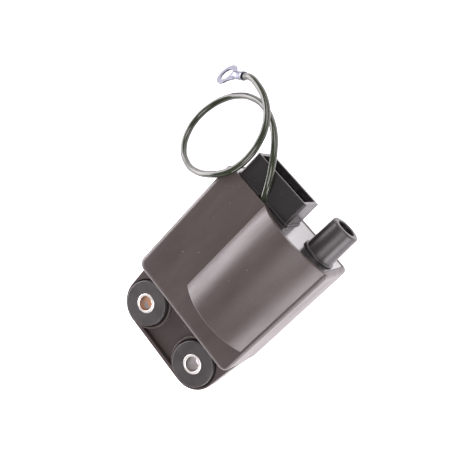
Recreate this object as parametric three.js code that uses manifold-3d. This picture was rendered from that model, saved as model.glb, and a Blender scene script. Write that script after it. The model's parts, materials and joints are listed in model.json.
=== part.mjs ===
// Scooter ignition unit: moulded case with bulge and rubber-mounted flange, low-voltage
// connector, high-tension outlet, potted circuit board and transformer, and an earth lead.
// Millimetres. +Z is up from the back face, +Y points to the connector end, and the origin
// is midway between the two bolt sleeves on the back face.
import * as THREE from "three";
import { mergeVertices } from "three/addons/utils/BufferGeometryUtils.js";
import Module from "manifold-3d";

const wasm = await Module();
wasm.setup();

const GAP = 0.3;
const WALL = 2.2;

const BODY = { left: -28.5, right: 33, back: 18.7, rim: 81.6, top: 27.3 };
const BULGE = { x: 13.2, z: 9.4, radius: 25.4, start: 31.8 };
const FLANGE = { boltX: 18, edge: 12.4, height: 8, webTop: 5.2, rimWall: 1.8, flare: [-31, 31.3], flareY: 12 };
const SEAT = { radius: 11.3, hole: 8.3, low: 3, high: 5.4 };
const GROMMET = { disc: 10.7, neck: 8, low: 0.3, high: 10, bore: 4.73 };
const SLEEVE = { outer: 4.65, inner: 3.3, height: 10 };
const CAP = { inner: 79, outer: 81.4, tailEnd: 78 };
const SOCKET = { left: -22.8, right: 6.5, low: 9.6, high: 25, seat: 81.9, mouth: 93.5, wall: 1.8 };
const TOWER = { x: 22.6, z: 16.8, seat: 81.9, tip: 97.3, bore: 4, shank: 5.5 };
const BLADE = { width: 6.3, thick: 0.8, tip: 90.8, rows: [14.4, 20.2], columns: [-16.35, -8.15, 0.05] };
const COIL = { x: 17.1, z: 16.8, start: 36, end: 74, radius: 12.3 };
const BOARD = { left: -25, right: 3, start: 24, end: 77, low: 5, high: 6.6 };
const LEAD = { radius: 1.5, bore: 1.8 };
const EARTH_TAIL = [-6.1, -5.1, 75.2, 76, BOARD.high + GAP, 22.8];

// The earth lead leaves the case rim, climbs over the connector, loops down to the surface
// the unit stands on, rests on the case corner and ends at its ring terminal.
const LEAD_ROUTE = [
  [-6.6, 76.5, 23.2], [-7.1, 79, 24], [-7.7, 81.6, 24.9], [-8.8, 85, 26], [-10.4, 88.6, 26.9],
  [-14.3, 94.6, 27], [-18.5, 99, 25.6], [-23.5, 102.5, 23.2], [-30.2, 104.9, 19.6],
  [-38.2, 105.4, 14.7], [-46.8, 103.2, 9.2], [-54.2, 98.7, 4.8], [-60, 92, 2.1],
  [-63.2, 84.2, 1.6], [-63.6, 76.5, 2.9], [-61, 69.8, 5.9], [-55.3, 65, 10.6],
  [-46.8, 64, 16.7], [-38.6, 66.7, 22.4], [-30.6, 72.8, 27.5], [-25.2, 79.7, 29.6],
  [-23.2, 85.6, 30], [-22.9, 91.1, 29.7], [-24.2, 97, 28.6], [-27, 102.2, 26.9],
  [-31.6, 106.5, 24.5], [-37.9, 109.4, 21.7], [-44.8, 110.4, 18.9], [-51.2, 109.8, 16.1],
  [-54.1, 108.1, 14],
].map((point) => new THREE.Vector3(...point));

const AXIS_X = new THREE.Vector3(1, 0, 0);
const AXIS_Y = new THREE.Vector3(0, 1, 0);
const AXIS_Z = new THREE.Vector3(0, 0, 1);

const group = new THREE.Group();

// ---- solids -------------------------------------------------------------------------------

function welded(geometry) {
  const bare = geometry.index ? geometry : mergeVertices(geometry);
  bare.deleteAttribute("normal");
  bare.deleteAttribute("uv");
  return mergeVertices(bare, 1e-4);
}

function signedVolume(positions, index) {
  const corner = [0, 1, 2].map(() => new THREE.Vector3());
  let volume = 0;
  for (let i = 0; i < index.length; i += 3) {
    corner.forEach((v, k) => v.fromArray(positions, index[i + k] * 3));
    volume += corner[0].dot(corner[1].clone().cross(corner[2])) / 6;
  }
  return volume;
}

function toSolid(geometry) {
  const clean = welded(geometry);
  const vertProperties = new Float32Array(clean.attributes.position.array);
  let triVerts = new Uint32Array(clean.index.array);
  if (signedVolume(vertProperties, triVerts) < 0) triVerts = triVerts.reverse();
  return new wasm.Manifold(new wasm.Mesh({ numProp: 3, vertProperties, triVerts }));
}

function toGeometry(solid) {
  const mesh = solid.getMesh();
  const geometry = new THREE.BufferGeometry();
  geometry.setAttribute("position", new THREE.BufferAttribute(mesh.vertProperties, 3));
  geometry.setIndex(new THREE.BufferAttribute(mesh.triVerts, 1));
  geometry.computeVertexNormals();
  return geometry;
}

const join = (solids) => solids.reduce((whole, piece) => whole.add(piece));
const cut = (solid, tools) => tools.reduce((rest, tool) => rest.subtract(tool), solid);

function box(x0, x1, y0, y1, z0, z1) {
  const geometry = new THREE.BoxGeometry(x1 - x0, y1 - y0, z1 - z0);
  geometry.translate((x0 + x1) / 2, (y0 + y1) / 2, (z0 + z1) / 2);
  return toSolid(geometry);
}

function rod(radius, start, end, sides = 24) {
  const length = start.distanceTo(end);
  const geometry = new THREE.CylinderGeometry(radius, radius, length, sides);
  const along = end.clone().sub(start).normalize();
  geometry.applyQuaternion(new THREE.Quaternion().setFromUnitVectors(AXIS_Y, along));
  geometry.translate(...start.clone().add(end).multiplyScalar(0.5));
  return toSolid(geometry);
}

function rodY(radius, x, z, y0, y1, sides = 24) {
  return rod(radius, new THREE.Vector3(x, y0, z), new THREE.Vector3(x, y1, z), sides);
}

function rodZ(radius, x, y, z0, z1, sides = 40) {
  return rod(radius, new THREE.Vector3(x, y, z0), new THREE.Vector3(x, y, z1), sides);
}

// A profile of [radius, height] points turned about the Y axis, closed on itself or the axis.
function turned(profile, sides) {
  const closed = profile[0][0] > 0;
  const points = (closed ? [...profile, profile[0]] : profile).map(([r, h]) => new THREE.Vector2(r, h));
  return new THREE.LatheGeometry(points, sides);
}

function turnedY(profile, x, z, sides = 32) {
  return toSolid(turned(profile, sides).translate(x, 0, z));
}

function turnedZ(profile, x, y, sides = 48) {
  return toSolid(turned(profile, sides).rotateX(Math.PI / 2).translate(x, y, 0));
}

// A shape drawn in X and Z, pushed along Y.
function alongY(shape, y0, y1, curveSegments = 24) {
  const geometry = new THREE.ExtrudeGeometry(shape, { depth: y1 - y0, bevelEnabled: false, curveSegments });
  const turn = new THREE.Matrix4().makeBasis(AXIS_X, AXIS_Z, AXIS_Y.clone().negate());
  return toSolid(geometry.applyMatrix4(turn).translate(0, y1, 0));
}

// A shape drawn in Y and Z, pushed along X.
function alongX(shape, x0, x1, curveSegments = 8) {
  const geometry = new THREE.ExtrudeGeometry(shape, { depth: x1 - x0, bevelEnabled: false, curveSegments });
  const turn = new THREE.Matrix4().makeBasis(AXIS_Y, AXIS_Z, AXIS_X);
  return toSolid(geometry.applyMatrix4(turn).translate(x0, 0, 0));
}

// A shape drawn in X and Y, pushed along Z.
function alongZ(shape, z0, z1, curveSegments = 12) {
  const geometry = new THREE.ExtrudeGeometry(shape, { depth: z1 - z0, bevelEnabled: false, curveSegments });
  return toSolid(geometry.translate(0, 0, z0));
}

// Corner radii run low-left, low-right, high-right, high-left.
function roundedRectangle(x0, y0, x1, y1, [a, b, c, d]) {
  const shape = new THREE.Shape();
  shape.moveTo(x0 + a, y0);
  shape.lineTo(x1 - b, y0);
  if (b) shape.absarc(x1 - b, y0 + b, b, -Math.PI / 2, 0);
  shape.lineTo(x1, y1 - c);
  if (c) shape.absarc(x1 - c, y1 - c, c, 0, Math.PI / 2);
  shape.lineTo(x0 + d, y1);
  if (d) shape.absarc(x0 + d, y1 - d, d, Math.PI / 2, Math.PI);
  shape.lineTo(x0, y0 + a);
  if (a) shape.absarc(x0 + a, y0 + a, a, Math.PI, Math.PI * 1.5);
  return shape;
}

function addPart(name, shape, color, roughness, metalness = 0) {
  const geometry = shape.isBufferGeometry ? shape : toGeometry(shape);
  const material = new THREE.MeshStandardMaterial({ color, roughness, metalness });
  const mesh = new THREE.Mesh(geometry, material);
  mesh.name = name;
  group.add(mesh);
}

// ---- case ---------------------------------------------------------------------------------

// The round-topped bulge above a chord at height low.
function bulgeSegment(radius, low) {
  const angle = Math.asin((low - BULGE.z) / radius);
  const shape = new THREE.Shape();
  shape.absarc(BULGE.x, BULGE.z, radius, angle, Math.PI - angle);
  shape.closePath();
  return shape;
}

function caseBlock() {
  const { left, right, back, rim, top } = BODY;
  const front = alongY(roundedRectangle(left, 0, right, top, [0, 0, 1.5, 2.5]), back, rim, 6);
  const plan = alongZ(roundedRectangle(left, back, right, rim, [5, 5, 2.5, 2.5]), 0, top, 8);
  const side = alongX(roundedRectangle(back, 0, rim, top, [0, 0, 0, 4.5]), left, right, 8);
  return front.intersect(plan).intersect(side);
}

function flangeOutline() {
  const { boltX, edge, flare, flareY } = FLANGE;
  const shape = new THREE.Shape();
  shape.moveTo(BODY.left + 1, 24);
  shape.lineTo(flare[0], flareY);
  shape.lineTo(-boltX - edge, 0);
  shape.absarc(-boltX, 0, edge, Math.PI, Math.PI * 1.5);
  shape.lineTo(boltX, -edge);
  shape.absarc(boltX, 0, edge, -Math.PI / 2, 0);
  shape.lineTo(flare[1], flareY);
  shape.lineTo(BODY.right - 0.5, 22);
  shape.lineTo(BODY.right - 1, 24);
  return shape;
}

function flangePocket() {
  const { boltX, edge, height, webTop, rimWall } = FLANGE;
  const pocket = box(-boltX, boltX, -edge + rimWall, BODY.back, webTop, height + 1);
  return cut(pocket, [rodZ(edge, -boltX, 0, 0, 10), rodZ(edge, boltX, 0, 0, 10)]);
}

function grommetSeat(x) {
  return join([
    rodZ(SEAT.radius, x, 0, -1, SEAT.low, 48),
    rodZ(SEAT.hole, x, 0, -1, 10, 48),
    rodZ(SEAT.radius, x, 0, SEAT.high, 10, 48),
  ]);
}

// The hollow inside the case, shrunk by inset, from its far end to y = end.
function interior(inset, end) {
  const ceiling = BODY.top - WALL - inset;
  const main = box(
    BODY.left + WALL + inset, BODY.right - WALL - inset,
    BODY.back + WALL + inset, end,
    WALL + inset, ceiling,
  );
  const inner = BULGE.radius - WALL - inset;
  return main.add(alongY(bulgeSegment(inner, ceiling - 0.1), BULGE.start + WALL + inset, end, 24));
}

const leadBore = rod(LEAD.bore, LEAD_ROUTE[0].clone().lerp(LEAD_ROUTE[2], -0.2),
  LEAD_ROUTE[2].clone().add(new THREE.Vector3(-2.2, 6.8, 2.3)), 16);

const bulge = alongY(bulgeSegment(BULGE.radius, BODY.top - 1.3), BULGE.start, BODY.rim, 28);
const flange = cut(alongZ(flangeOutline(), 0, FLANGE.height), [flangePocket()]);
const caseShell = cut(caseBlock().add(bulge).add(flange), [
  grommetSeat(-FLANGE.boltX),
  grommetSeat(FLANGE.boltX),
  interior(0, BODY.rim + 1),
  leadBore,
]);
addPart("case", caseShell, 0x5d5653, 0.42);

// ---- flange fittings ----------------------------------------------------------------------

function grommet(x) {
  const { disc, neck, low, high, bore } = GROMMET;
  return turnedZ([
    [bore, low], [disc - 0.5, low], [disc, low + 0.5], [disc, SEAT.low - GAP],
    [neck, SEAT.low - GAP], [neck, SEAT.high + GAP], [disc, SEAT.high + GAP],
    [disc, high - 0.6], [disc - 0.6, high], [bore, high],
  ], x, 0);
}

function sleeve(x) {
  const { outer, inner, height } = SLEEVE;
  const chamfer = 0.3;
  return turnedZ([
    [inner, chamfer], [inner + chamfer, 0], [outer - chamfer, 0], [outer, chamfer],
    [outer, height - chamfer], [outer - chamfer, height], [inner + chamfer, height],
    [inner, height - chamfer],
  ], x, 0, 40);
}

for (const [side, x] of [["left", -FLANGE.boltX], ["right", FLANGE.boltX]]) {
  addPart(`grommet_${side}`, grommet(x), 0x5a5450, 0.6);
  addPart(`sleeve_${side}`, sleeve(x), 0xc9c9c4, 0.3, 1);
}

// ---- connector end ------------------------------------------------------------------------

const innerWall = {
  left: SOCKET.left + SOCKET.wall,
  right: SOCKET.right - SOCKET.wall,
  low: SOCKET.low + SOCKET.wall,
  high: SOCKET.high - SOCKET.wall,
};
const socketTail = { left: innerWall.left - 0.5, right: innerWall.right + 0.5, low: 11, high: 22.6 };

function endCap() {
  const tail = socketTail;
  const plate = interior(GAP, CAP.outer).subtract(box(-50, 50, 0, CAP.inner, -10, 50));
  return cut(plate, [
    box(tail.left - GAP, tail.right + GAP, 70, 90, tail.low - GAP, tail.high + GAP),
    rodY(TOWER.shank + GAP, TOWER.x, TOWER.z, 70, 90, 32),
    leadBore,
  ]);
}

function socketOutline(margin, radius) {
  return roundedRectangle(
    SOCKET.left - margin, SOCKET.low - margin, SOCKET.right + margin, SOCKET.high + margin / 2,
    [radius, radius, radius, radius],
  );
}

function connectorHousing() {
  const tail = socketTail;
  const floor = SOCKET.seat + 2.4;
  const slots = BLADE.rows.flatMap((z) => BLADE.columns.map((x) => box(
    x - BLADE.width / 2 - GAP, x + BLADE.width / 2 + GAP,
    77, 86,
    z - BLADE.thick / 2 - GAP, z + BLADE.thick / 2 + GAP,
  )));
  return cut(join([
    alongY(socketOutline(0.8, 1.2), SOCKET.seat, SOCKET.seat + 1, 4),
    alongY(socketOutline(0, 0.8), SOCKET.seat + 0.5, SOCKET.mouth, 4),
    box(tail.left, tail.right, CAP.tailEnd, SOCKET.seat + 0.5, tail.low, tail.high),
  ]), [
    box(innerWall.left, innerWall.right, floor, SOCKET.mouth + 1, innerWall.low, innerWall.high),
    ...slots,
    leadBore,
  ]);
}

// A flat blade with a narrow tail that turns down to the circuit board.
function bladeTerminal(x, z, turnY) {
  const half = BLADE.thick / 2;
  const tail = 1;
  return join([
    box(x - BLADE.width / 2, x + BLADE.width / 2, 81, BLADE.tip - 0.8, z - half, z + half),
    box(x - BLADE.width / 2 + 0.9, x + BLADE.width / 2 - 0.9, 90, BLADE.tip, z - half, z + half),
    box(x - tail, x + tail, turnY, 81.5, z - half, z + half),
    box(x - tail, x + tail, turnY, turnY + BLADE.thick, BOARD.high + GAP, z + half),
  ]);
}

const terminalTurns = [75, 72];

function highTensionTower() {
  const { seat, tip, bore, shank } = TOWER;
  return turnedY([
    [1.5, CAP.tailEnd], [shank, CAP.tailEnd], [shank, seat], [7.4, seat], [7.4, seat + 0.5],
    [7.1, seat + 0.8], [6.6, seat + 0.9], [6.3, tip - 0.6], [5.8, tip],
    [bore + 0.4, tip], [bore, tip - 0.5], [bore, 86], [1.5, 85],
  ], TOWER.x, TOWER.z, 40);
}

function contactSpike() {
  return turnedY([
    [0, 75.7], [2.2, 75.7], [2.2, 77.2], [1.2, 77.2], [1.2, 88.6], [0.3, 91], [0, 91],
  ], TOWER.x, TOWER.z, 20);
}

addPart("end_cap", endCap(), 0x4a4644, 0.25);
addPart("connector_housing", connectorHousing(), 0x3b3a39, 0.38);
BLADE.rows.forEach((z, row) => BLADE.columns.forEach((x, column) => {
  const name = `terminal_${row === 0 ? "lower" : "upper"}_${column + 1}`;
  addPart(name, bladeTerminal(x, z, terminalTurns[row]), 0xc8c2b0, 0.3, 1);
}));
addPart("ht_tower", highTensionTower(), 0x4a4745, 0.4);
addPart("ht_contact_spike", contactSpike(), 0xc9a557, 0.3, 1);

// ---- transformer --------------------------------------------------------------------------

const SECTION_COUNT = 6;
const RIB = 1;
const sectionPitch = (COIL.end - COIL.start - RIB) / SECTION_COUNT;

function secondaryBobbin() {
  const tube = 7.9;
  const outline = [[6.9, COIL.end], [6.9, COIL.start]];
  for (let rib = 0; rib <= SECTION_COUNT; rib += 1) {
    const y = COIL.start + rib * sectionPitch;
    if (rib > 0) outline.push([tube, y]);
    outline.push([COIL.radius, y], [COIL.radius, y + RIB]);
    if (rib < SECTION_COUNT) outline.push([tube, y + RIB]);
  }
  return turnedY(outline, COIL.x, COIL.z, 28);
}

function ring(inner, outer, y0, y1, sides = 24) {
  return turnedY([[inner, y0], [outer, y0], [outer, y1], [inner, y1]], COIL.x, COIL.z, sides);
}

function primaryBobbin() {
  const { start, end } = COIL;
  return turnedY([
    [3.9, start], [6.6, start], [6.6, start + 1], [4.7, start + 1],
    [4.7, end - 1], [6.6, end - 1], [6.6, end], [3.9, end],
  ], COIL.x, COIL.z, 24);
}

addPart("transformer_core", rodY(3.6, COIL.x, COIL.z, COIL.start + GAP, COIL.end - GAP, 24), 0x3a3b3d, 0.6, 0.4);
addPart("primary_bobbin", primaryBobbin(), 0xd9d3bd, 0.5);
addPart("primary_winding", ring(5, 6.3, COIL.start + 1.3, COIL.end - 1.3), 0x9c5a2b, 0.35, 0.8);
addPart("secondary_bobbin", secondaryBobbin(), 0xcfc8b2, 0.5);
for (let section = 0; section < SECTION_COUNT; section += 1) {
  const y = COIL.start + section * sectionPitch + RIB;
  const winding = ring(8.2, 11.4, y + GAP, y + sectionPitch - RIB - GAP, 24);
  addPart(`secondary_winding_${section + 1}`, winding, 0x8e4f26, 0.35, 0.8);
}

// Joins the end of the secondary to the foot of the contact spike.
addPart("ht_link", rodY(1.8, TOWER.x, TOWER.z, COIL.end + 0.4, 75.4, 20), 0xc9a557, 0.35, 1);

// ---- circuit board ------------------------------------------------------------------------

const boardSurface = BOARD.high + GAP;
const boardParts = {
  discharge_capacitor: { block: [-23.5, -9, 26, 52, boardSurface, 21.5], color: 0xb9852c, roughness: 0.4 },
  thyristor: { block: [-22.5, -12.5, 56, 60.5, boardSurface, 16], color: 0x2b2b2c, roughness: 0.5 },
  bridge_rectifier: { block: [-6.5, 0.5, 28, 34.5, boardSurface, 12], color: 0x2b2b2c, roughness: 0.5 },
  trigger_capacitor: { block: [-7, -2.5, 40, 47, boardSurface, 13], color: 0x7c3f1d, roughness: 0.45 },
};
const boardRods = {
  charge_diode: { x: [-7.5, -2.3], y: 52, radius: 1.35, color: 0x2f2f31 },
  flyback_diode: { x: [-7.5, -2.3], y: 58, radius: 1.35, color: 0x2f2f31 },
  gate_resistor: { x: [-20, -13.5], y: 65, radius: 1.15, color: 0xb8a888 },
  bleed_resistor: { x: [-7.5, -1], y: 64, radius: 1.15, color: 0xb8a888 },
};

function rodOnBoard({ x, y, radius }, grow = 0) {
  const z = boardSurface + radius;
  const start = new THREE.Vector3(x[0] - grow, y, z);
  const end = new THREE.Vector3(x[1] + grow, y, z);
  return rod(radius + grow, start, end, 16);
}

addPart("circuit_board", box(BOARD.left, BOARD.right, BOARD.start, BOARD.end, BOARD.low, BOARD.high), 0x8c8a4c, 0.55);
for (const [name, { block, color, roughness }] of Object.entries(boardParts)) {
  addPart(name, box(...block), color, roughness);
}
for (const [name, part] of Object.entries(boardRods)) {
  addPart(name, rodOnBoard(part), part.color, 0.45);
}

// ---- potting compound ---------------------------------------------------------------------

function grownBox([x0, x1, y0, y1, z0, z1], grow = GAP) {
  return box(x0 - grow, x1 + grow, y0 - grow, y1 + grow, z0 - grow, z1 + grow);
}

// Room that the potting leaves for every piece that is cast into it.
function pottingPockets() {
  const { left, right, start, end, low, high } = BOARD;
  const pockets = [
    rodY(COIL.radius + GAP, COIL.x, COIL.z, COIL.start - GAP, COIL.end + GAP, 36),
    grownBox([left, right, start, end, low - 1, high]),
    grownBox([TOWER.x - 3, TOWER.x + 3, 73, 80, TOWER.z - 2.5, TOWER.z + 2.5]),
    rodY(TOWER.shank + GAP, TOWER.x, TOWER.z, CAP.tailEnd - GAP, 90, 24),
    box(socketTail.left - GAP, socketTail.right + GAP, CAP.tailEnd - GAP, 90,
      socketTail.low - GAP, socketTail.high + GAP),
    rod(LEAD.bore, LEAD_ROUTE[0].clone().lerp(LEAD_ROUTE[2], -0.08), LEAD_ROUTE[2], 16),
    grownBox(EARTH_TAIL),
  ];
  Object.values(boardParts).forEach(({ block }) => {
    pockets.push(grownBox([...block.slice(0, 4), BOARD.high - 1, block[5]]));
  });
  Object.values(boardRods).forEach(({ x, y, radius }) => {
    pockets.push(grownBox([...x, y - radius, y + radius, BOARD.high - 1, boardSurface + 2 * radius]));
  });
  BLADE.rows.forEach((z, row) => BLADE.columns.forEach((x) => {
    const turn = terminalTurns[row];
    pockets.push(grownBox([x - 1, x + 1, turn, 80, z - 0.4, z + 0.4]));
    pockets.push(grownBox([x - 1, x + 1, turn, turn + BLADE.thick, BOARD.high - 1, z + 0.4]));
  }));
  return pockets;
}

// The two pours meet under the board on its side and at the coil's axis on the other.
function pottingPours() {
  const step = 3.7;
  const boardPlane = BOARD.low - GAP - 0.15;
  const fill = interior(GAP, CAP.inner - GAP);
  const first = join([
    box(-50, 50, 0, 90, -1, boardPlane - 0.15),
    box(step + 0.15, 50, 0, 90, -1, COIL.z - 0.15),
  ]);
  const second = join([
    box(-50, step - 0.15, 0, 90, boardPlane + 0.15, 60),
    box(-50, 50, 0, 90, COIL.z + 0.15, 60),
  ]);
  const pockets = pottingPockets();
  return [first, second].map((region) => cut(fill.intersect(region), pockets));
}

const [firstPour, secondPour] = pottingPours();
addPart("potting_first_pour", firstPour, 0x2c2b2a, 0.35);
addPart("potting_second_pour", secondPour, 0x302e2d, 0.35);

// ---- earth lead ---------------------------------------------------------------------------

const leadCurve = new THREE.CatmullRomCurve3(LEAD_ROUTE, false, "centripetal");

function leadInsulation() {
  const section = new THREE.Shape();
  section.absarc(0, 0, LEAD.radius, 0, Math.PI * 2);
  const options = { steps: 72, curveSegments: 4, bevelEnabled: false, extrudePath: leadCurve };
  return toSolid(new THREE.ExtrudeGeometry(section, options));
}

// The terminal lies in a tilted plane: its ring touches down beside the loop.
const TERMINAL = {
  ring: 5.6, hole: 3.2, thick: 0.8, barrelStart: 8.6, barrelEnd: 15.8, barrel: 2, barrelBore: 1.35, rise: 0.9,
};

function terminalFrame() {
  const leadEnd = LEAD_ROUTE[LEAD_ROUTE.length - 1];
  const alongLead = leadEnd.clone().sub(LEAD_ROUTE[LEAD_ROUTE.length - 2]).negate().normalize();
  const across = new THREE.Vector3(0.19, -0.87, 0.455);
  across.addScaledVector(alongLead, -across.dot(alongLead)).normalize();
  const normal = alongLead.clone().cross(across).normalize();
  if (normal.z < 0) {
    normal.negate();
    across.negate();
  }
  const centre = leadEnd.clone().addScaledVector(alongLead, -16.8).addScaledVector(normal, -TERMINAL.rise);
  return new THREE.Matrix4().makeBasis(alongLead, across, normal).setPosition(centre);
}

function ringTerminal() {
  const { ring: outer, hole, thick, barrelStart, barrelEnd, barrel, barrelBore, rise } = TERMINAL;
  const half = thick / 2;
  const start = new THREE.Vector3(barrelStart, 0, rise);
  const end = new THREE.Vector3(barrelEnd, 0, rise);
  const neck = new THREE.Shape([
    new THREE.Vector2(3.8, -3.4), new THREE.Vector2(barrelStart + 1.2, -1.7),
    new THREE.Vector2(barrelStart + 1.2, 1.7), new THREE.Vector2(3.8, 3.4),
  ]);
  const tongue = join([rodZ(outer, 0, 0, -half, half, 36), alongZ(neck, -half, half), rod(barrel, start, end, 20)]);
  return cut(tongue, [
    rodZ(hole, 0, 0, -2, 2, 28),
    rod(barrelBore, start.clone().setX(barrelStart + 1.5), end.clone().setX(barrelEnd + 1), 16),
  ]);
}

function conductorEnd() {
  const start = new THREE.Vector3(TERMINAL.barrelStart + 1.9, 0, TERMINAL.rise);
  return rod(0.95, start, start.clone().setX(16.5), 12);
}

const terminalPlace = terminalFrame();
addPart("earth_lead", leadInsulation(), 0x34372b, 0.35);
addPart("earth_lead_conductor", toGeometry(conductorEnd()).applyMatrix4(terminalPlace), 0xb87a4a, 0.4, 1);
addPart("ring_terminal", toGeometry(ringTerminal()).applyMatrix4(terminalPlace), 0xd3d5dc, 0.3, 1);
addPart("earth_lead_tail", box(...EARTH_TAIL), 0xb87a4a, 0.4, 1);

export default group;
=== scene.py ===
"""Looks of a potted scooter ignition unit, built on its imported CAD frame.

The camera and the earth lead come first, then the mesh helpers, the materials, the detailed
pieces that stand for CAD nodes, and the stage. Pieces are drawn in millimetres and scaled to
metres when they are complete.
"""
import json
import math

import bmesh
import bpy
from mathutils import Matrix, Vector

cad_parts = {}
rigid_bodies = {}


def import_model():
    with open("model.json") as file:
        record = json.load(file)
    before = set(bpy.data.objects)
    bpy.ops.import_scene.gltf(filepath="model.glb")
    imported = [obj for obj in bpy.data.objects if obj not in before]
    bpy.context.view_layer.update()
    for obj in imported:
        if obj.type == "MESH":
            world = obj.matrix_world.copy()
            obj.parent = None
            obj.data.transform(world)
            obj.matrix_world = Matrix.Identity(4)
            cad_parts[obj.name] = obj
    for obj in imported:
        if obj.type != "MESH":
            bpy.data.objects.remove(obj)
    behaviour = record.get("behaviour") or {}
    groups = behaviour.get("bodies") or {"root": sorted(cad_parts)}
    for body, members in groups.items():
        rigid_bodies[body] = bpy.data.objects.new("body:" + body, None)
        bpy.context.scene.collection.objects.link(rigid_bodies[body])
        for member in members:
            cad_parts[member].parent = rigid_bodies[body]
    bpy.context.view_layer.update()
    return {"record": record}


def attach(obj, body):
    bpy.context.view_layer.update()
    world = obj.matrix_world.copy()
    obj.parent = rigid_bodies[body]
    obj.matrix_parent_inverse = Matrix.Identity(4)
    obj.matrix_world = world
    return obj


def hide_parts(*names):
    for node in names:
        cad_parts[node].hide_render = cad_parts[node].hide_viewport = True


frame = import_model()

MM = 0.001


def mm(*values):
    return Vector(values) * MM


# ---- sizes, in millimetres ----------------------------------------------------------------

BODY = {"left": -28.5, "right": 33.0, "back": 18.7, "rim": 81.6, "top": 27.3}
BULGE = {
    "x": 13.2, "z": 9.4, "radius": 25.4, "start": 31.8, "sunk": 1.3,
    "start_edge": 0.7, "end_edge": 0.35,
}
FLANGE = {
    "bolt_x": 18.0, "edge": 12.4, "height": 8.0, "web_top": 5.2, "rim_wall": 1.8,
    "flare": (-31.0, 31.3), "flare_y": 12.0, "root_y": 24.0,
}
SEAT = {"radius": 11.3, "hole": 8.3, "low": 3.0, "high": 5.4}
CAP = {"inner": 79.0, "outer": 81.4, "seam": 0.12}
SOCKET = {
    "left": -22.8, "right": 6.5, "low": 9.6, "high": 25.0,
    "mouth": 93.5, "wall": 1.8, "floor": 84.3,
}
PLINTH = {"proud": 0.55, "corner": 1.2, "thick": 0.8}
TAIL = {"left": -21.5, "right": 5.2, "low": 11.0, "high": 22.6, "end": 78.0}
TOWER = {
    "x": 22.6, "z": 16.8, "tip": 97.3, "outer": 6.3, "bore": 4.0, "bore_end": 86.0,
    "collar": 7.4, "collar_thick": 0.9, "root": 6.6, "shank": 5.5, "pilot": 1.5,
}
BLADE = {
    "width": 6.3, "thick": 0.8, "tip": 90.8, "chamfer": 1.1, "root": 81.0,
    "rows": (14.4, 20.2), "columns": (-16.35, -8.15, 0.05),
    "leg": 1.0, "leg_ends": (75.0, 72.0), "hole_y": 87.2, "hole": 0.9,
}
GROMMET = {"disc": 10.7, "neck": 8.0, "low": 0.3, "high": 10.0, "bore": 4.73}
SLEEVE = {"outer": 4.65, "inner": 3.3, "height": 10.0}
TERMINAL = {
    "ring": 5.6, "hole": 3.2, "thick": 0.8, "neck": 1.75, "tongue": 1.6,
    "start": 8.6, "end": 15.8, "barrel": 2.0, "bore": 1.35, "rise": 0.9,
}
WALL = 2.2
LEAD_BORE = 1.7
# How far the lead's bore runs on, past the place where the lead leaves the case.
LEAD_BORE_RUN = (-2.2, 6.8, 2.3)
# Where the connector and the outlet stand, just clear of the end cap.
FACE = CAP["outer"] + 0.05
# Where the blades' legs end, on the circuit board.
BOARD_FACE = 6.9
# The rubber's clearance round its seat in the flange.
SEAT_GAP = 0.3
# From the lead's end to the ring's centre, and the way the ring lies.
TERMINAL_REACH = 16.8
TERMINAL_ACROSS = (0.19, -0.87, 0.455)
# Cutters that go through the end cap run between these places along Y.
THROUGH_CAP = (70, 90)

# ---- camera -------------------------------------------------------------------------------

CAMERA_PLACE = (0.0651, 0.1611, 0.2734)
CAMERA_TARGET = (-0.0149, 0.0574, 0.0130)
CAMERA_ROLL = math.radians(-95.36)
CAMERA_LENS = 53.57


def make_camera():
    data = bpy.data.cameras.new("camera")
    data.lens = CAMERA_LENS
    data.sensor_width = 36
    data.clip_start = 0.01
    camera = bpy.data.objects.new("camera", data)
    bpy.context.collection.objects.link(camera)
    place = Vector(CAMERA_PLACE)
    aim = (Vector(CAMERA_TARGET) - place).to_track_quat("-Z", "Y").to_matrix().to_4x4()
    camera.matrix_world = Matrix.Translation(place) @ aim @ Matrix.Rotation(CAMERA_ROLL, 4, "Z")
    bpy.context.scene.camera = camera


make_camera()

# ---- earth lead ---------------------------------------------------------------------------

LEAD_RADIUS = 1.5
LEAD_EXIT = (-7.7, 81.6, 24.9)
# The same route as the CAD lead, from inside the case to the ring terminal.
LEAD_ROUTE = [
    (-6.6, 76.5, 23.2), (-7.1, 79, 24), LEAD_EXIT, (-8.8, 85, 26), (-10.4, 88.6, 26.9),
    (-14.3, 94.6, 27), (-18.5, 99, 25.6), (-23.5, 102.5, 23.2), (-30.2, 104.9, 19.6),
    (-38.2, 105.4, 14.7), (-46.8, 103.2, 9.2), (-54.2, 98.7, 4.8), (-60, 92, 2.1),
    (-63.2, 84.2, 1.6), (-63.6, 76.5, 2.9), (-61, 69.8, 5.9), (-55.3, 65, 10.6),
    (-46.8, 64, 16.7), (-38.6, 66.7, 22.4), (-30.6, 72.8, 27.5), (-25.2, 79.7, 29.6),
    (-23.2, 85.6, 30), (-22.9, 91.1, 29.7), (-24.2, 97, 28.6), (-27, 102.2, 26.9),
    (-31.6, 106.5, 24.5), (-37.9, 109.4, 21.7), (-44.8, 110.4, 18.9), (-51.2, 109.8, 16.1),
    (-54.1, 108.1, 14),
]


def make_lead():
    curve = bpy.data.curves.new("earth_lead_pvc", "CURVE")
    curve.dimensions = "3D"
    curve.bevel_depth = 1.0
    curve.bevel_resolution = 6
    curve.resolution_u = 10
    curve.use_fill_caps = True
    spline = curve.splines.new("BEZIER")
    spline.bezier_points.add(len(LEAD_ROUTE) - 1)
    # The point radii carry the thickness, which keeps the curve's own bounds tight.
    for point, place in zip(spline.bezier_points, LEAD_ROUTE):
        point.co = mm(*place)
        point.radius = LEAD_RADIUS * MM
        point.handle_left_type = point.handle_right_type = "AUTO"
    lead = bpy.data.objects.new("earth_lead_pvc", curve)
    bpy.context.collection.objects.link(lead)
    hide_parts("earth_lead")
    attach(lead, "unit")
    return lead


lead = make_lead()

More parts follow.
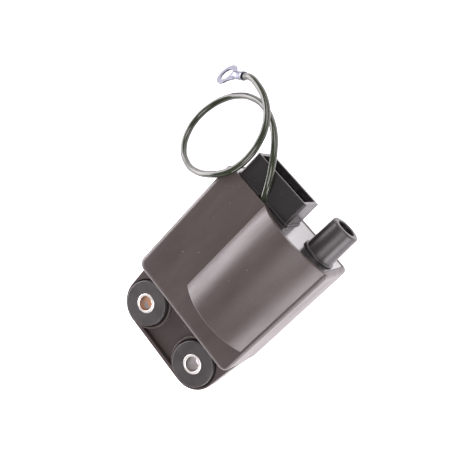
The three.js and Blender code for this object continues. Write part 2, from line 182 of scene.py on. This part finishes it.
# ---- mesh helpers -------------------------------------------------------------------------

FILLET_STEPS = 5


def along_y(u, v, w):
    return (u, w, v)


def along_z(u, v, w):
    return (u, v, w)


def arc(centre, radius, start, end, steps=10):
    """Points on an arc, with its angles in degrees."""
    angles = [math.radians(start + (end - start) * i / steps) for i in range(steps + 1)]
    return [(centre[0] + radius * math.cos(a), centre[1] + radius * math.sin(a)) for a in angles]


def circle(centre, radius, sides=96):
    return arc(centre, radius, 0, 360 - 360 / sides, sides - 1)


def rounded_rectangle(x0, y0, x1, y1, radii):
    """Corner radii run low-left, low-right, high-right, high-left."""
    a, b, c, d = radii
    return (
        arc((x0 + a, y0 + a), a, 180, 270)
        + arc((x1 - b, y0 + b), b, 270, 360)
        + arc((x1 - c, y1 - c), c, 0, 90)
        + arc((x0 + d, y1 - d), d, 90, 180)
    )


def outward(outline):
    """The outward mitre vector at each point of a counter-clockwise outline."""
    vectors = []
    for i, point in enumerate(outline):
        before = (Vector(point) - Vector(outline[i - 1])).normalized()
        after = (Vector(outline[(i + 1) % len(outline)]) - Vector(point)).normalized()
        tangent = (before + after).normalized()
        vectors.append(Vector((tangent.y, -tangent.x)) / max(0.5, tangent.dot(after)))
    return vectors


def quarter_turn():
    """How far in and how far along an edge of radius one is, from its side round to its end."""
    angles = [math.pi / 2 * i / FILLET_STEPS for i in range(FILLET_STEPS + 1)]
    return [(1 - math.cos(a), 1 - math.sin(a)) for a in angles]


def skin(rings, closed=False):
    """A closed mesh through rings of equally many points, capped at both ends or joined end to end."""
    bm = bmesh.new()
    loops = [[bm.verts.new(point) for point in ring] for ring in rings]
    following = loops[1:] + loops[:1] if closed else loops[1:]
    for low, high in zip(loops, following):
        for i in range(len(low)):
            j = (i + 1) % len(low)
            bm.faces.new((low[i], low[j], high[j], high[i]))
    if not closed:
        bm.faces.new(loops[0])
        bm.faces.new(loops[-1])
    bmesh.ops.recalc_face_normals(bm, faces=bm.faces)
    return bm


def new_piece(name, bm):
    mesh = bpy.data.meshes.new(name)
    bm.to_mesh(mesh)
    bm.free()
    piece = bpy.data.objects.new(name, mesh)
    bpy.context.collection.objects.link(piece)
    return piece


def prism(outline, low, high, low_edge, high_edge, turn=along_z, past=0, name="tool"):
    """An outline pushed from low to high with rounded end edges.

    An edge is one radius or one for each point. A negative radius flares outwards, which gives
    a cutter's mouth a rounded lip, and past carries the cutter on beyond that end.
    """
    normals = outward(outline)
    count = len(outline)
    low_edges = low_edge if isinstance(low_edge, list) else [low_edge] * count
    high_edges = high_edge if isinstance(high_edge, list) else [high_edge] * count

    def ring(edges, inset, height, rise):
        return [
            turn(u - edge * inset * normal.x, v - edge * inset * normal.y, height + abs(edge) * rise)
            for (u, v), normal, edge in zip(outline, normals, edges)
        ]

    rings = [ring(low_edges, inset, low, rise) for inset, rise in reversed(quarter_turn())]
    rings += [ring(high_edges, inset, high, -rise) for inset, rise in quarter_turn()]
    if past:
        rings.append(ring(high_edges, 1, high + past, 0))
    return new_piece(name, skin(rings))


def turned(profile, centre, turn, sides=96, name="tool"):
    """A closed profile of (radius, height) points turned about an axis through centre."""
    rings = []
    for radius, height in profile:
        rings.append([turn(u, v, height) for u, v in circle(centre, radius, sides)])
    return new_piece(name, skin(rings, closed=True))


def softened(corners, radius):
    """A closed profile with its corners rounded; radius is one number or one for each corner."""
    radii = radius if isinstance(radius, list) else [radius] * len(corners)
    points = []
    for i, corner in enumerate(corners):
        here = Vector(corner)
        back = Vector(corners[i - 1]) - here
        ahead = Vector(corners[(i + 1) % len(corners)]) - here
        half = back.angle(ahead) / 2
        reach = min(radii[i] / math.tan(half), 0.45 * min(back.length, ahead.length)) if radii[i] else 0
        if not reach:
            points.append(tuple(here))
            continue
        start, end = here + back.normalized() * reach, here + ahead.normalized() * reach
        for step in range(FILLET_STEPS + 1):
            t = step / FILLET_STEPS
            points.append(tuple(start.lerp(here, t).lerp(here.lerp(end, t), t)))
    return points


def bar(start, end, radius, sides=32):
    """A plain round cutter between two points."""
    start, end = Vector(start), Vector(end)
    facing = (end - start).to_track_quat("Z", "Y")
    rings = []
    for place in (start, end):
        rings.append([place + facing @ Vector((u, v, 0)) for u, v in circle((0, 0), radius, sides)])
    return new_piece("tool", skin(rings))


def block(x0, x1, y0, y1, z0, z1):
    """A plain block, with edges broken by the least that a mesh needs."""
    return prism([(x0, y0), (x1, y0), (x1, y1), (x0, y1)], z0, z1, 0.02, 0.02)


def combine(piece, operation, tools):
    """Joins tools to a piece or cuts them out of it, and removes them."""
    for tool in tools:
        step = piece.modifiers.new("combine", "BOOLEAN")
        step.operation = operation
        step.solver = "EXACT"
        step.object = tool
    evaluated = piece.evaluated_get(bpy.context.evaluated_depsgraph_get())
    mesh = bpy.data.meshes.new_from_object(evaluated)
    piece.modifiers.clear()
    piece.data = mesh
    for tool in tools:
        bpy.data.objects.remove(tool)
    return piece


def complete(piece, slot, nodes, body="unit", matrix=None):
    """Scales a piece from millimetres, smooths its fillets and puts it in the frame."""
    mesh = piece.data
    if matrix is not None:
        mesh.transform(matrix)
    mesh.transform(Matrix.Scale(MM, 4))
    mesh.materials.clear()
    mesh.materials.append(MATERIALS[slot])
    mesh.shade_smooth()
    mesh.set_sharp_from_angle(angle=math.radians(38))
    weights = piece.modifiers.new("even_normals", "WEIGHTED_NORMAL")
    weights.keep_sharp = True
    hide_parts(*nodes)
    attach(piece, body)


# ---- node helpers -------------------------------------------------------------------------


class Nodes:
    """A short way to write one material's node tree."""

    def __init__(self, name):
        self.material = bpy.data.materials.new(name)
        self.material.use_nodes = True
        self.tree = self.material.node_tree
        self.tree.nodes.clear()
        self.shader = self.tree.nodes.new("ShaderNodeBsdfPrincipled")
        output = self.tree.nodes.new("ShaderNodeOutputMaterial")
        self.tree.links.new(self.shader.outputs["BSDF"], output.inputs["Surface"])
        self.place = self.tree.nodes.new("ShaderNodeTexCoord").outputs["Object"]

    def node(self, kind, **inputs):
        made = self.tree.nodes.new(kind)
        for name, value in inputs.items():
            self.feed(made.inputs[name.replace("_", " ")], value)
        return made

    def feed(self, socket, value):
        if isinstance(value, bpy.types.NodeSocket):
            self.tree.links.new(value, socket)
        else:
            socket.default_value = value

    def noise(self, scale, detail=3.0, roughness=0.55, stretch=(1, 1, 1)):
        mapping = self.node("ShaderNodeMapping", Vector=self.place, Scale=stretch)
        made = self.node("ShaderNodeTexNoise", Vector=mapping.outputs["Vector"], Scale=scale)
        made.inputs["Detail"].default_value = detail
        made.inputs["Roughness"].default_value = roughness
        return made.outputs["Fac"]

    def ramp(self, value, stops):
        made = self.tree.nodes.new("ShaderNodeValToRGB")
        elements = made.color_ramp.elements
        while len(elements) < len(stops):
            elements.new(0.5)
        for element, (position, colour) in zip(elements, stops):
            element.position = position
            element.color = (*colour, 1)
        self.feed(made.inputs["Fac"], value)
        return made.outputs["Color"]

    def range(self, value, low, high, start=0.0, end=1.0):
        made = self.node("ShaderNodeMapRange", Value=value)
        made.inputs["From Min"].default_value = start
        made.inputs["From Max"].default_value = end
        made.inputs["To Min"].default_value = low
        made.inputs["To Max"].default_value = high
        return made.outputs["Result"]

    def math(self, operation, a, b=0.0):
        made = self.tree.nodes.new("ShaderNodeMath")
        made.operation = operation
        self.feed(made.inputs[0], a)
        self.feed(made.inputs[1], b)
        return made.outputs["Value"]

    def mix(self, factor, a, b):
        made = self.tree.nodes.new("ShaderNodeMix")
        made.data_type = "RGBA"
        self.feed(made.inputs["Factor"], factor)
        self.feed(made.inputs["A"], a)
        self.feed(made.inputs["B"], b)
        return made.outputs["Result"]

    def bump(self, height, distance, strength=1.0, base=None):
        made = self.node("ShaderNodeBump", Height=height, Distance=distance, Strength=strength)
        if base is not None:
            self.feed(made.inputs["Normal"], base)
        return made.outputs["Normal"]

    def axis(self, letter):
        split = self.node("ShaderNodeSeparateXYZ", Vector=self.place)
        return split.outputs[letter]

    def set(self, **values):
        for name, value in values.items():
            self.feed(self.shader.inputs[name.replace("_", " ")], value)
        return self.material


# ---- materials ----------------------------------------------------------------------------


def moulded(name, dark, light, roughness, specular=0.5, grain=1.0, coat=0.0):
    """Glossy moulding: slow flow mottling, faint dust and rub marks, very fine skin texture."""
    n = Nodes(name)
    flow = n.noise(38, 4, 0.6, (1, 0.45, 1))
    colour = n.ramp(flow, [(0.3, dark), (0.72, light)])
    dust = n.noise(900, 2, 0.7)
    speck = n.range(dust, 0, 1, 0.70, 0.78)
    dusty = n.mix(n.math("MULTIPLY", speck, 0.35), colour, (0.32, 0.30, 0.29, 1))
    rub = n.noise(160, 5, 0.62, (1, 0.25, 1))
    gloss = n.range(rub, roughness * 0.82, roughness * 1.3, 0.3, 0.75)
    skin = n.noise(1500, 2, 0.5)
    sink = n.noise(55, 2, 0.5)
    normal = n.bump(sink, 0.00004 * grain, 0.5)
    normal = n.bump(skin, 0.0000012 * grain, 0.5, normal)
    n.shader.inputs["Specular IOR Level"].default_value = specular
    n.shader.inputs["Coat Weight"].default_value = coat
    n.shader.inputs["Coat Roughness"].default_value = 0.2
    return n.set(Base_Color=dusty, Roughness=gloss, Normal=normal)


def rubber(name):
    n = Nodes(name)
    cloud = n.noise(120, 4)
    colour = n.ramp(cloud, [(0.3, (0.026, 0.023, 0.0225)), (0.75, (0.042, 0.038, 0.037))])
    fine = n.noise(2600, 3, 0.6)
    gloss = n.range(cloud, 0.42, 0.55, 0.3, 0.7)
    return n.set(Base_Color=colour, Roughness=gloss, Normal=n.bump(fine, 0.00002, 0.6))


def sleeve_steel(name):
    """Bright zinc on the outside and the ends, painted shade darkening the bore, and rust in the left
    sleeve's bore.
    """
    n = Nodes(name)
    across = n.math("SUBTRACT", n.math("ABSOLUTE", n.axis("X")), FLANGE["bolt_x"] * MM)
    along = n.axis("Y")
    squares = n.math("ADD", n.math("MULTIPLY", across, across), n.math("MULTIPLY", along, along))
    radius = n.math("SQRT", squares)
    bore = n.range(radius, 1, 0, (SLEEVE["inner"] + 0.05) * MM, (SLEEVE["inner"] + 0.35) * MM)
    cloud = n.noise(300, 4, 0.6)
    patches = n.range(n.noise(240, 3, 0.6), 0, 1, 0.42, 0.58)
    left = n.range(n.axis("X"), 0.85, 0.12, -MM, MM)
    # Painted shade: the bore gets a darker grey than the outside, standing in for the shade inside the
    # sleeve.
    bore_shade = n.ramp(cloud, [(0.3, (0.20, 0.195, 0.19)), (0.7, (0.36, 0.355, 0.35))])
    # Rust patches in the left sleeve's bore are laid over that painted shade.
    bore_shade_and_rust = n.mix(n.math("MULTIPLY", patches, left), bore_shade, (0.46, 0.22, 0.095, 1))
    bright = n.ramp(cloud, [(0.3, (0.86, 0.84, 0.80)), (0.7, (0.94, 0.92, 0.88))])
    gloss = n.range(cloud, 0.36, 0.46, 0.3, 0.7)
    normal = n.bump(cloud, 0.000004, 0.4)
    return n.set(Base_Color=n.mix(bore, bright, bore_shade_and_rust), Metallic=1.0, Roughness=gloss, Normal=normal)


def tin_plate(name, tint):
    n = Nodes(name)
    cloud = n.noise(420, 4, 0.6)
    colour = n.ramp(cloud, [(0.3, tuple(c * 0.9 for c in tint)), (0.7, tint)])
    gloss = n.range(cloud, 0.22, 0.40, 0.3, 0.7)
    return n.set(Base_Color=colour, Metallic=1.0, Roughness=gloss, Normal=n.bump(cloud, 0.00003, 0.4))


def yellow_metal(name, dark, light, roughness=0.3):
    n = Nodes(name)
    cloud = n.noise(500, 4, 0.6)
    colour = n.ramp(cloud, [(0.3, dark), (0.7, light)])
    gloss = n.range(cloud, roughness * 0.7, roughness * 1.4, 0.3, 0.7)
    return n.set(Base_Color=colour, Metallic=1.0, Roughness=gloss, Normal=n.bump(cloud, 0.00002, 0.4))


def lead_pvc(name):
    """Dark olive sheath with faint draw lines and finger-worn patches."""
    n = Nodes(name)
    cloud = n.noise(210, 4, 0.6)
    colour = n.ramp(cloud, [(0.3, (0.012, 0.016, 0.007)), (0.72, (0.022, 0.030, 0.013))])
    gloss = n.range(n.noise(320, 4), 0.13, 0.20, 0.3, 0.7)
    n.shader.inputs["Specular IOR Level"].default_value = 0.6
    ripple = n.noise(1400, 2, 0.5)
    return n.set(Base_Color=colour, Roughness=gloss, Normal=n.bump(ripple, 0.00002, 0.5))


def matt(name, dark, light, roughness=0.55, scale=400):
    n = Nodes(name)
    cloud = n.noise(scale, 4, 0.6)
    colour = n.ramp(cloud, [(0.3, dark), (0.7, light)])
    gloss = n.range(cloud, roughness * 0.85, roughness * 1.15, 0.3, 0.7)
    return n.set(Base_Color=colour, Roughness=gloss, Normal=n.bump(cloud, 0.00003, 0.5))


MATERIALS = {
    "case_plastic": moulded(
        "case_moulding", (0.045, 0.0355, 0.0322), (0.056, 0.0445, 0.0402), roughness=0.36
    ),
    "cap_plastic": moulded(
        "cap_moulding", (0.014, 0.013, 0.0125), (0.019, 0.017, 0.0165),
        roughness=0.2, specular=1.0, grain=0.06, coat=1.0,
    ),
    "connector_plastic": moulded(
        "connector_moulding", (0.009, 0.0085, 0.0085), (0.014, 0.013, 0.013),
        roughness=0.28, grain=0.25,
    ),
    "tower_plastic": moulded(
        "tower_moulding", (0.010, 0.0088, 0.0084), (0.015, 0.0133, 0.0127),
        roughness=0.40, specular=0.6, grain=0.3,
    ),
    "grommet_rubber": rubber("grommet_rubber"),
    "zinc_plated_steel": sleeve_steel("zinc_plate"),
    "tinned_brass": tin_plate("tinned_blade", (0.74, 0.72, 0.66)),
    "brass": yellow_metal("turned_brass", (0.50, 0.33, 0.11), (0.68, 0.47, 0.18)),
    "ferrite": matt("ferrite", (0.035, 0.036, 0.040), (0.060, 0.061, 0.066), roughness=0.6),
    "bobbin_plastic": matt("bobbin", (0.56, 0.51, 0.40), (0.66, 0.60, 0.48), roughness=0.45),
    "enamelled_copper": yellow_metal(
        "enamelled_copper", (0.22, 0.07, 0.03), (0.38, 0.14, 0.05), roughness=0.32
    ),
    "board_laminate": matt(
        "board_laminate", (0.20, 0.21, 0.08), (0.28, 0.28, 0.12), roughness=0.5
    ),
    "capacitor_film": matt(
        "capacitor_dip", (0.34, 0.15, 0.03), (0.42, 0.20, 0.04), roughness=0.35
    ),
    "component_epoxy": matt(
        "component_epoxy", (0.018, 0.018, 0.019), (0.030, 0.030, 0.031), roughness=0.5
    ),
    "resistor_body": matt(
        "resistor_body", (0.42, 0.34, 0.22), (0.52, 0.42, 0.28), roughness=0.45
    ),
    "potting_resin": matt(
        "potting_resin", (0.020, 0.018, 0.017), (0.034, 0.031, 0.029), roughness=0.3, scale=90
    ),
    "lead_pvc": lead_pvc("lead_sheath"),
    "bare_copper": yellow_metal(
        "tarnished_strands", (0.055, 0.030, 0.020), (0.12, 0.065, 0.040), roughness=0.5
    ),
    "tinned_copper": tin_plate("tinned_copper", (0.165, 0.174, 0.212)),
}


def paint_cad_nodes():
    for part in frame["record"]["subparts"]:
        target = bpy.data.objects[part["node"]]
        material = MATERIALS[part["material_slot"]]
        if not target.material_slots:
            target.data.materials.append(material)
        for material_slot in target.material_slots:
            material_slot.material = material


paint_cad_nodes()
lead.data.materials.append(MATERIALS["lead_pvc"])

# ---- case ---------------------------------------------------------------------------------

CORNER = {"back": 4.2, "rim": 2.5}
# Edge radii of the top and the foot, towards -Y, +X, +Y and -X.
TOP_EDGES = (3.2, 1.5, 0.35, 2.6)
FOOT_EDGES = (0.5, 0.6, 1.1, 0.6)


def edges_by_side(outline, radii):
    """One edge radius for each outline point, eased from side to side round the corners."""
    edges = []
    for normal in outward(outline):
        turn = (math.degrees(math.atan2(normal.y, normal.x)) + 90) % 360 / 90
        side = int(turn) % 4
        share = turn - int(turn)
        ease = share * share * (3 - 2 * share)
        edges.append(radii[side] * (1 - ease) + radii[(side + 1) % 4] * ease)
    return edges


def case_body():
    outline = rounded_rectangle(
        BODY["left"], BODY["back"], BODY["right"], BODY["rim"],
        (CORNER["back"], CORNER["back"], CORNER["rim"], CORNER["rim"]),
    )
    tops = edges_by_side(outline, TOP_EDGES)
    feet = edges_by_side(outline, FOOT_EDGES)
    return prism(outline, 0, BODY["top"], feet, tops, name="case_shell")


def bulge_body():
    """The round-topped bulge, sunk a little into the case's top, with both its ends rounded."""
    start, end, low = BULGE["start"], BODY["rim"], BODY["top"] - BULGE["sunk"]
    start_edge, end_edge = BULGE["start_edge"], BULGE["end_edge"]
    stations = [(start + start_edge * rise, start_edge * inset) for inset, rise in reversed(quarter_turn())]
    stations += [(end - end_edge * rise, end_edge * inset) for inset, rise in quarter_turn()]
    rings = []
    for y, inset in stations:
        radius = BULGE["radius"] - inset
        chord = math.degrees(math.asin((low - BULGE["z"]) / radius))
        section = arc((BULGE["x"], BULGE["z"]), radius, chord, 180 - chord, 72)
        rings.append([(x, y, z) for x, z in section])
    return new_piece("tool", skin(rings))


def flange_body():
    """The mounting flange, which flares out to the case and ends inside its wall."""
    bolt, edge, root_y = FLANGE["bolt_x"], FLANGE["edge"], FLANGE["root_y"]
    flare_left, flare_right = FLANGE["flare"]
    outline = (
        [(BODY["left"] + 1, root_y), (flare_left, FLANGE["flare_y"])]
        + arc((-bolt, 0), edge, 180, 270, 20)
        + arc((bolt, 0), edge, 270, 360, 20)
        + [(flare_right, FLANGE["flare_y"])]
        + [(BODY["right"] - 0.5, root_y - 2), (BODY["right"] - 1, root_y)]
    )
    return prism(outline, 0, FLANGE["height"], 0.4, 0.4)


def flange_pocket():
    """The shallow tray between the two grommet collars, with a rounded lip and floor edge."""
    bolt, edge = FLANGE["bolt_x"], FLANGE["edge"]
    low = -edge + FLANGE["rim_wall"]
    meet = math.degrees(math.asin(low / edge))
    outline = (
        arc((bolt, 0), edge, 180 - meet, 90, 24)
        + arc((-bolt, 0), edge, 90, meet, 24)
    )
    middle = len(outline) // 2
    outline[middle:middle] = [(bolt, BODY["back"] + 2), (-bolt, BODY["back"] + 2)]
    return prism(outline, FLANGE["web_top"], FLANGE["height"], 0.2, -0.3, past=1)


def grommet_seats():
    """Cutters for both grommets: a recess on each face of the flange and a hole between them."""
    tools = []
    for x in (-FLANGE["bolt_x"], FLANGE["bolt_x"]):
        ring = circle((x, 0), SEAT["radius"])
        tools.append(prism(ring, SEAT["high"], FLANGE["height"], 0.2, -0.35, past=1))
        tools.append(prism(ring, -1, SEAT["low"], 0, 0.2))
        tools.append(prism(circle((x, 0), SEAT["hole"]), -1, FLANGE["height"] + 1, 0, 0))
    return tools


def inner_section(inset):
    """The hollow's outline across the case, inside its walls by WALL and a further inset."""
    step = WALL + inset
    radius = BULGE["radius"] - step
    chord = math.degrees(math.asin((BODY["top"] - step - BULGE["z"]) / radius))
    floor = arc((BODY["left"] + step + 1, step + 1), 1, 180, 270, 4)
    floor += arc((BODY["right"] - step - 1, step + 1), 1, 270, 360, 4)
    ceiling = arc((BULGE["x"], BULGE["z"]), radius, chord, 180 - chord, 60)
    return floor + ceiling + [(BODY["left"] + step, BODY["top"] - step)]


def hollow():
    """Cutters for the inside: the low far end, and the full section from the bulge to the rim."""
    bulge_start, overlap = BULGE["start"] + WALL, 6
    far_end = block(
        BODY["left"] + WALL, BODY["right"] - WALL,
        BODY["back"] + WALL, bulge_start + overlap,
        WALL, BODY["top"] - WALL,
    )
    mouth = prism(inner_section(0), bulge_start, BODY["rim"], 0.3, -0.3, along_y, past=1)
    return [far_end, mouth]


def lead_bore():
    """The lead's way out through the cap's edge and under the case rim."""
    inside, outside = Vector(LEAD_ROUTE[0]), Vector(LEAD_EXIT)
    return bar(inside.lerp(outside, -0.2), outside + Vector(LEAD_BORE_RUN), LEAD_BORE)


def make_case():
    shell = case_body()
    bulge = bulge_body()
    flange = combine(flange_body(), "DIFFERENCE", [flange_pocket()])
    combine(shell, "UNION", [bulge, flange])
    combine(shell, "DIFFERENCE", grommet_seats() + hollow() + [lead_bore()])
    complete(shell, "case_plastic", ["case"])


# ---- end face, connector and outlet -------------------------------------------------------


def make_end_cap():
    """The glossy end face, open where the connector's tail and the outlet's shank go through."""
    section = inner_section(CAP["seam"])
    cap = prism(section, CAP["inner"], CAP["outer"], 0.1, 0.25, along_y, name="end_cap_face")
    room = 0.1
    before, after = THROUGH_CAP
    tail = block(
        TAIL["left"] - room, TAIL["right"] + room, before, after, TAIL["low"] - room, TAIL["high"] + room
    )
    x, z = TOWER["x"], TOWER["z"]
    shank = bar((x, before, z), (x, after, z), TOWER["shank"] + room, 64)
    combine(cap, "DIFFERENCE", [tail, shank, lead_bore()])
    complete(cap, "cap_plastic", ["end_cap"])


def socket_section(margin, radius):
    """The connector's outline, grown by a margin that is halved at the top under the lead."""
    return rounded_rectangle(
        SOCKET["left"] - margin, SOCKET["low"] - margin,
        SOCKET["right"] + margin, SOCKET["high"] + margin / 2,
        [radius] * 4,
    )


def blade_slots():
    room = 0.15
    half_width, half_thick = BLADE["width"] / 2 + room, BLADE["thick"] / 2 + room
    start, end = TAIL["end"] - 1, SOCKET["floor"] + 1.7
    return [
        block(x - half_width, x + half_width, start, end, z - half_thick, z + half_thick)
        for z in BLADE["rows"] for x in BLADE["columns"]
    ]


def make_connector():
    """Plinth, shroud and tail in one, with a hollow mouth and a slot for each blade."""
    shroud = prism(
        socket_section(0, 0.9), FACE + 0.2, SOCKET["mouth"], 0.1, 0.35, along_y, name="connector_shroud"
    )
    base = socket_section(PLINTH["proud"], PLINTH["corner"])
    plinth = prism(base, FACE, FACE + PLINTH["thick"], 0.05, 0.3, along_y)
    tail = block(TAIL["left"], TAIL["right"], TAIL["end"], FACE + 0.5, TAIL["low"], TAIL["high"])
    mouth = prism(
        socket_section(-SOCKET["wall"], 0.5), SOCKET["floor"], SOCKET["mouth"], 0.4, -0.3, along_y, past=1
    )
    combine(shroud, "UNION", [plinth, tail])
    combine(shroud, "DIFFERENCE", [mouth] + blade_slots() + [lead_bore()])
    complete(shroud, "connector_plastic", ["connector_housing"])


def blade_outline(x):
    """A blade seen along Z, with a chamfered tip."""
    half, tip, chamfer, root = BLADE["width"] / 2, BLADE["tip"], BLADE["chamfer"], BLADE["root"]
    corners = [
        (x - half, root), (x - half, tip - chamfer), (x - half + chamfer, tip),
        (x + half - chamfer, tip), (x + half, tip - chamfer), (x + half, root),
    ]
    return softened(list(reversed(corners)), [0.4, 0.5, 0.4, 0.4, 0.5, 0.4])


def make_blades():
    """Six blades, each with a locking hole, a narrow tail and a leg down to the board."""
    half, leg_half = BLADE["thick"] / 2, BLADE["leg"]
    for row, z, turn in zip(("lower", "upper"), BLADE["rows"], BLADE["leg_ends"]):
        for column, x in enumerate(BLADE["columns"], 1):
            name = f"blade_{row}_{column}"
            blade = prism(blade_outline(x), z - half, z + half, 0.15, 0.15, name=name)
            left, right = x - leg_half, x + leg_half
            tail = block(left, right, turn, BLADE["root"] + 0.5, z - half, z + half)
            leg = block(left, right, turn, turn + BLADE["thick"], BOARD_FACE, z + half)
            hole_ring = circle((x, BLADE["hole_y"]), BLADE["hole"], 32)
            hole = prism(hole_ring, z - half - 1, z + half + 1, 0, 0)
            combine(blade, "UNION", [tail, leg])
            combine(blade, "DIFFERENCE", [hole])
            complete(blade, "tinned_brass", [f"terminal_{row}_{column}"])


def make_tower():
    """The outlet, turned: a shank in the cap, a collar on it, and a slightly tapered tube."""
    tip, bore, bore_end = TOWER["tip"], TOWER["bore"], TOWER["bore_end"]
    shank, shank_end, pilot = TOWER["shank"], CAP["inner"] - 1, TOWER["pilot"]
    collar, collar_top = TOWER["collar"], FACE + TOWER["collar_thick"]
    corners = [
        (pilot, shank_end), (shank, shank_end), (shank, FACE), (collar, FACE), (collar, collar_top),
        (TOWER["root"], collar_top + 0.1), (TOWER["outer"], tip), (bore, tip), (bore, bore_end),
        (pilot, bore_end - 1),
    ]
    radii = [0.1, 0.2, 0.1, 0.1, 0.4, 0.25, 0.9, 0.5, 0.5, 0.2]
    tower = turned(softened(corners, radii), (TOWER["x"], TOWER["z"]), along_y, name="outlet_tower")
    complete(tower, "tower_plastic", ["ht_tower"])


# ---- grommets and sleeves -----------------------------------------------------------------


def make_grommet(side, x):
    """A rubber bush with a wide disc on each side of the flange."""
    disc, neck, bore = GROMMET["disc"], GROMMET["neck"], GROMMET["bore"]
    low, high = GROMMET["low"], GROMMET["high"]
    groove_low, groove_high = SEAT["low"] - SEAT_GAP, SEAT["high"] + SEAT_GAP
    corners = [
        (bore, low), (disc, low), (disc, groove_low), (neck, groove_low),
        (neck, groove_high), (disc, groove_high), (disc, high), (bore, high),
    ]
    radii = [0.25, 0.6, 0.3, 0.3, 0.3, 0.3, 0.75, 0.35]
    grommet = turned(softened(corners, radii), (x, 0), along_z, name=f"rubber_grommet_{side}")
    complete(grommet, "grommet_rubber", [f"grommet_{side}"])


def make_sleeve(side, x):
    outer, inner, height = SLEEVE["outer"], SLEEVE["inner"], SLEEVE["height"]
    corners = [(inner, 0), (outer, 0), (outer, height), (inner, height)]
    sleeve = turned(softened(corners, [0.4, 0.3, 0.35, 0.5]), (x, 0), along_z, name=f"steel_sleeve_{side}")
    complete(sleeve, "zinc_plated_steel", [f"sleeve_{side}"], f"sleeve_{side}")


# ---- ring terminal ------------------------------------------------------------------------


def terminal_place():
    """The terminal's own frame: X back along the lead, Z square to its ring."""
    end, before = Vector(LEAD_ROUTE[-1]), Vector(LEAD_ROUTE[-2])
    along = (before - end).normalized()
    across = Vector(TERMINAL_ACROSS)
    across = (across - along * across.dot(along)).normalized()
    normal = along.cross(across).normalized()
    if normal.z < 0:
        normal.negate()
        across.negate()
    centre = end - along * TERMINAL_REACH - normal * TERMINAL["rise"]
    return Matrix.Translation(centre) @ Matrix((along, across, normal)).transposed().to_4x4()


def crimped_barrel():
    """The barrel along the terminal's X, squeezed flat in its middle."""
    full, start, rise = TERMINAL["barrel"], TERMINAL["start"], TERMINAL["rise"]
    # How far along the barrel, and its height there as a share of the full height.
    stations = [
        (0, 0.93), (0.35, 1), (1.4, 1), (2.1, 0.86), (2.9, 0.82),
        (4.3, 0.82), (5.1, 0.86), (5.8, 1), (6.85, 1), (7.2, 0.95),
    ]
    rings = []
    for run, share in stations:
        width = full * (2 - share) if share > 0.9 else full * 1.04
        rings.append([
            (start + run, v * width, rise + w * full * share) for v, w in circle((0, 0), 1, 48)
        ])
    return new_piece("tool", skin(rings))


def make_ring_terminal():
    """A stamped ring with a necked tongue and a crimped barrel."""
    half, start, end, rise = TERMINAL["thick"] / 2, TERMINAL["start"], TERMINAL["end"], TERMINAL["rise"]
    neck, tongue, tongue_end = TERMINAL["neck"], TERMINAL["tongue"], start + 1.6
    # The angle at which the ring's edge meets the neck.
    neck_meets = 38
    outline = arc((0, 0), TERMINAL["ring"], neck_meets, 360 - neck_meets, 56)
    outline += [(start, -neck), (tongue_end, -tongue), (tongue_end, tongue), (start, neck)]
    terminal = prism(outline, -half, half, 0.22, 0.22, name="crimped_ring")
    combine(terminal, "UNION", [crimped_barrel()])
    hole = prism(circle((0, 0), TERMINAL["hole"], 64), -half - 1, half, 0, -0.2, past=1)
    bore = bar((start - 1, 0, rise), (end + 1, 0, rise), TERMINAL["bore"])
    seam = block(start - 1, end + 1, -0.09, 0.09, rise + 1, rise + 3)
    combine(terminal, "DIFFERENCE", [hole, bore, seam])
    complete(terminal, "tinned_copper", ["ring_terminal"], matrix=terminal_place())
    return terminal


make_case()
make_end_cap()
make_connector()
make_blades()
make_tower()
for side, x in (("left", -FLANGE["bolt_x"]), ("right", FLANGE["bolt_x"])):
    make_grommet(side, x)
    make_sleeve(side, x)
make_ring_terminal()

# ---- stage --------------------------------------------------------------------------------

# The lamps are a touch pink, and the floor is a softly lit table.
STUDIO_TINT = (1.0, 0.945, 0.985, 1)


def make_floor():
    mesh = bpy.data.meshes.new("floor")
    size = 3.0
    corners = [(-size, -size, 0), (size, -size, 0), (size, size, 0), (-size, size, 0)]
    mesh.from_pydata(corners, [], [(0, 1, 2, 3)])
    floor = bpy.data.objects.new("floor", mesh)
    bpy.context.collection.objects.link(floor)
    n = Nodes("floor_paper")
    paper = n.ramp(n.noise(60, 3), [(0.3, (0.84, 0.84, 0.84)), (0.7, (0.86, 0.86, 0.86))])
    n.set(Emission_Color=STUDIO_TINT, Emission_Strength=0.9)
    mesh.materials.append(n.set(Base_Color=paper, Roughness=0.9))


def make_light(name, place, target, size, power):
    data = bpy.data.lights.new(name, "AREA")
    data.shape = "RECTANGLE"
    data.size, data.size_y = size
    data.energy = power
    data.color = STUDIO_TINT[:3]
    lamp = bpy.data.objects.new(name, data)
    bpy.context.collection.objects.link(lamp)
    aim = (Vector(target) - Vector(place)).to_track_quat("-Z", "Y").to_matrix().to_4x4()
    lamp.matrix_world = Matrix.Translation(place) @ aim


def make_world(strength):
    world = bpy.data.worlds.new("studio")
    bpy.context.scene.world = world
    world.use_nodes = True
    background = world.node_tree.nodes["Background"]
    background.inputs["Color"].default_value = STUDIO_TINT
    background.inputs["Strength"].default_value = strength


make_floor()
make_world(0.4)
make_light("key", (0.30, 0.10, 0.85), (0, 0.04, 0), (0.6, 0.6), 6.2)
make_light("left_panel", (-0.60, -0.22, 0.18), (0, 0.05, 0.02), (0.9, 0.36), 8.3)
make_light("front_panel", (-0.22, 0.75, 0.42), (0, 0.06, 0.02), (0.8, 0.30), 3.5)
make_light("right_panel", (0.68, -0.22, 0.19), (0, 0.05, 0.02), (0.8, 0.38), 6.8)
make_light("back_panel", (0, -0.85, 0.24), (0, 0.05, 0.02), (1.0, 0.36), 1.0)

bpy.context.scene.view_settings.view_transform = "Standard"
